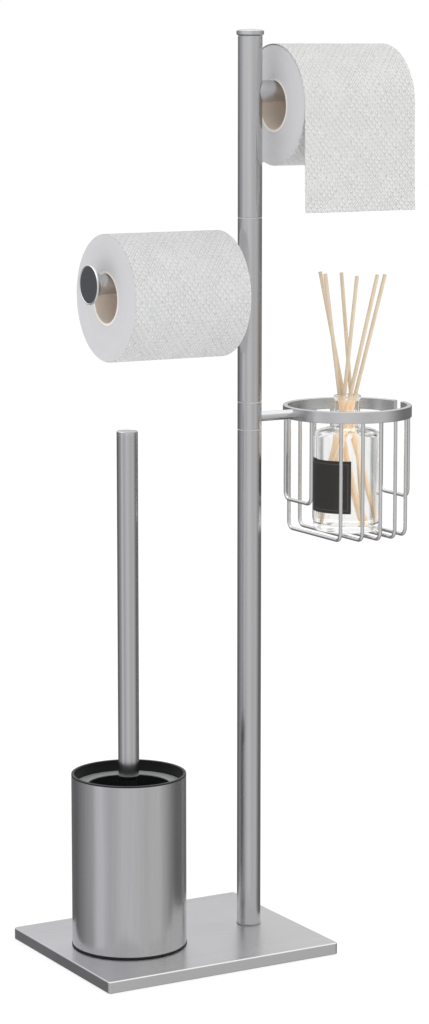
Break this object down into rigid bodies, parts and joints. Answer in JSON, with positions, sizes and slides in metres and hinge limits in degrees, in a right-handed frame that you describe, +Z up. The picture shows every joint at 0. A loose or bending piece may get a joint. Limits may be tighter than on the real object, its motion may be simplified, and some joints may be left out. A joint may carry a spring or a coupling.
{
  "type": "toilet roll and brush stand",
  "caption": "Free-standing steel pole on a weighted base with swivelling roll arms, a swivelling wire basket with a reed diffuser, and a toilet brush in a cup.",
  "frame": {"origin": "middle of the underside of the base, on the floor", "axes": "+Z up; +X along the base from the brush cup towards the pole and the basket; +Y towards the back"},
  "size_m": [0.3614, 0.19, 0.834],
  "materials": {
    "brushed_steel": "satin",
    "polished_steel": "polished",
    "zinc_steel": "satin",
    "ballast_iron": "matte",
    "black_rubber": "matte",
    "white_nylon": "satin",
    "black_plastic": "satin",
    "grey_plastic": "satin",
    "white_bristle": "satin",
    "card_core": "matte",
    "wound_tissue": "matte",
    "tissue_sheet": "matte",
    "clear_glass": "gloss",
    "charcoal_label": "matte",
    "pale_reed": "matte"
  },
  "bodies": {
    "base": {"base_cover": "brushed_steel", "base_weight": "ballast_iron", "anti_slip_pad": "black_rubber", "pole_bolt": "zinc_steel", "pole_bolt_washer": "zinc_steel", "foot_gasket": "black_rubber", "foot_plug": "zinc_steel", "lower_tube": "brushed_steel", "top_plug": "zinc_steel", "spindle": "zinc_steel", "lower_seam_washer": "white_nylon", "middle_seam_washer": "white_nylon", "upper_seam_washer": "white_nylon", "top_washer": "white_nylon", "pole_cap": "polished_steel", "cup_foot_ring": "black_rubber", "cup_shell": "brushed_steel", "cup_lining": "black_plastic", "liner": "grey_plastic", "cup_screw": "zinc_steel"},
    "basket": {"collar_sleeve": "brushed_steel", "collar_bushes": "white_nylon", "basket_arm": "polished_steel", "basket_arm_screw": "zinc_steel", "basket_ring": "brushed_steel", "basket_wire_1": "polished_steel", "basket_wire_2": "polished_steel", "basket_wire_3": "polished_steel", "basket_wire_4": "polished_steel", "basket_wire_5": "polished_steel", "basket_wire_6": "polished_steel", "basket_wire_7": "polished_steel"},
    "middle_arm": {"middle_sleeve": "brushed_steel", "middle_bushes": "white_nylon", "middle_arm_boss": "polished_steel", "middle_arm_screw": "zinc_steel", "middle_arm_tube": "polished_steel", "middle_arm_stop": "polished_steel"},
    "upper_arm": {"upper_sleeve": "brushed_steel", "upper_bushes": "white_nylon", "upper_arm_boss": "polished_steel", "upper_arm_screw": "zinc_steel", "upper_arm_tube": "polished_steel", "upper_arm_stop": "polished_steel", "hanging_sheet": "tissue_sheet"},
    "middle_roll": {"middle_roll_core": "card_core", "middle_roll_paper": "wound_tissue"},
    "upper_roll": {"upper_roll_core": "card_core", "upper_roll_paper": "wound_tissue"},
    "brush": {"handle_tube": "brushed_steel", "handle_cap": "polished_steel", "handle_plug": "black_plastic", "brush_stem": "black_plastic", "bristles": "white_bristle"},
    "diffuser": {"bottle": "clear_glass", "bottle_label": "charcoal_label", "reeds": "pale_reed"}
  },
  "joints": [
    {"name": "basket_swivel", "type": "hinge", "parent": "base", "child": "basket", "pos_m": [0.079, 0, 0.486], "axis": [0, 0, 1], "range_deg": [-55, 55]},
    {"name": "middle_swivel", "type": "hinge", "parent": "base", "child": "middle_arm", "pos_m": [0.079, 0, 0.584], "axis": [0, 0, 1], "range_deg": [-55, 55]},
    {"name": "upper_swivel", "type": "hinge", "parent": "base", "child": "upper_arm", "pos_m": [0.079, 0, 0.748], "axis": [0, 0, 1], "continuous": true},
    {"name": "middle_roll_spin", "type": "hinge", "parent": "middle_arm", "child": "middle_roll", "pos_m": [-0.01, 0, 0.6], "axis": [1, 0, 0], "continuous": true},
    {"name": "upper_roll_spin", "type": "hinge", "parent": "upper_arm", "child": "upper_roll", "pos_m": [0.161, 0, 0.7665], "axis": [1, 0, 0], "continuous": true},
    {"name": "brush_lift", "type": "slide", "parent": "base", "child": "brush", "axis": [0, 0, 1], "range_m": [0, 0.055]},
    {"name": "diffuser_lift", "type": "slide", "parent": "basket", "child": "diffuser", "axis": [0, 0, 1], "range_m": [0, 0.055]}
  ]
}
